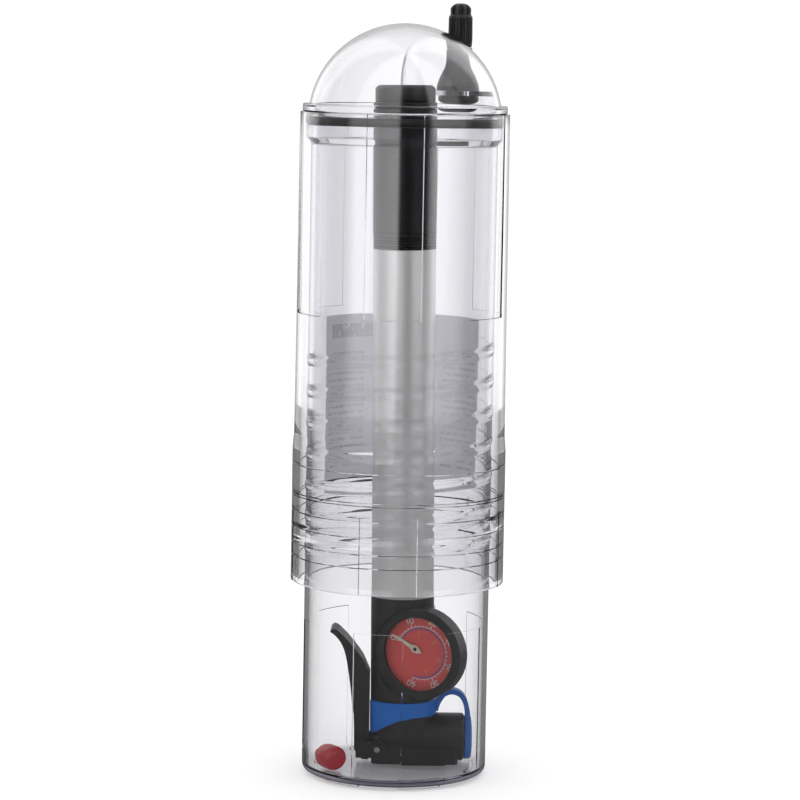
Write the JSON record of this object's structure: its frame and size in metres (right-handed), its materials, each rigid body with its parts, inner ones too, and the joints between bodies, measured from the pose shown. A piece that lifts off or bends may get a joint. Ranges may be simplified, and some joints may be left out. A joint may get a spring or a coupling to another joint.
{
  "type": "tennis ball can",
  "caption": "Clear tube that screws shut and is pumped up to keep tennis balls lively, with a domed top, a tyre valve and a hand pump with a dial gauge stored inside.",
  "frame": {"origin": "on the can's axis, at the plane of the container's feet", "axes": "+Z along the can's axis towards the dome, -Y towards the front, where the gauge is seen"},
  "size_m": [0.0904, 0.0902, 0.327],
  "materials": {
    "clear_plastic": "clear, polished, very faint grey-violet tint",
    "black_rubber": "soft semi-matte",
    "black_plastic": "fine satin grain",
    "satin_aluminium": "satin anodised tube",
    "bright_ring": "polished",
    "brass": "turned",
    "spring_steel": "bright wire and rod",
    "dial_red": "printed dial card",
    "needle_cream": "painted pointer",
    "clear_lens": "clear window",
    "blue_plastic": "flexible moulded plastic",
    "red_plastic": "moulded plastic",
    "paper": "uncoated printed sheet"
  },
  "bodies": {
    "container": {"container": "clear_plastic", "leaflet": "paper", "valve_adapter": "red_plastic"},
    "seal_ring": {"mouth_oring": "black_rubber"},
    "sleeve": {"sleeve": "clear_plastic", "dome": "clear_plastic", "valve_rubber_body": "black_rubber", "valve_stem": "brass", "valve_core_body": "brass", "valve_core_spring": "spring_steel"},
    "valve_cap": {"valve_cap": "black_plastic"},
    "core_pin": {"valve_core_pin": "brass", "valve_core_gasket": "black_rubber"},
    "pump": {"pump_barrel": "satin_aluminium", "barrel_ring": "bright_ring", "rod_guide": "black_plastic", "chuck_housing": "black_plastic", "check_valve": "black_rubber", "chuck_gasket": "black_rubber", "chuck_plunger": "black_plastic", "lever_pin": "spring_steel", "gauge_bezel": "black_plastic", "gauge_lens": "clear_lens", "gauge_dial": "dial_red", "bourdon_tube": "brass", "dust_cap": "blue_plastic"},
    "pump_handle": {"piston_rod": "spring_steel", "pump_piston": "black_plastic", "piston_cup_seal": "black_rubber", "grip": "black_plastic", "grip_end_cap": "black_plastic"},
    "lever": {"lever": "black_plastic"},
    "needle": {"gauge_needle": "needle_cream", "gauge_spindle": "brass"}
  },
  "joints": [
    {"name": "sleeve_turn", "type": "hinge", "parent": "container", "child": "seal_ring", "pos_m": [0, 0, 0.2773], "axis": [0, 0, 1], "range_deg": [0, 2520]},
    {"name": "sleeve_rise", "type": "slide", "parent": "seal_ring", "child": "sleeve", "axis": [0, 0, 1], "range_m": [0, 0.0925]},
    {"name": "cap_lift", "type": "slide", "parent": "sleeve", "child": "valve_cap", "axis": [0, 0, 1], "range_m": [0, 0.02]},
    {"name": "core_pin_press", "type": "slide", "parent": "sleeve", "child": "core_pin", "axis": [0, 0, -1], "range_m": [0, 0.0012], "stiffness_N_per_m": 1200, "springref_m": -0.0008, "deforming": ["valve_core_spring"]},
    {"name": "pump_lift", "type": "slide", "parent": "container", "child": "pump", "axis": [0, 0, 1], "range_m": [0, 0.008]},
    {"name": "handle_pull", "type": "slide", "parent": "pump", "child": "pump_handle", "axis": [-0.0125, 0, 0.9999], "range_m": [0, 0.012]},
    {"name": "lever_swing", "type": "hinge", "parent": "pump", "child": "lever", "pos_m": [-0.0071, 0, 0.0119], "axis": [0, -1, 0], "range_deg": [0, 8]},
    {"name": "needle_swing", "type": "hinge", "parent": "pump", "child": "needle", "pos_m": [0.00692, -0.01359, 0.0552], "axis": [0.4226, 0.9063, 0], "range_deg": [0, 270], "stiffness_Nm_per_rad": 0.00002}
  ],
  "couplings": [
    {"joint": "sleeve_rise", "follows": "sleeve_turn", "m_per_rad": 0.0021008}
  ]
}
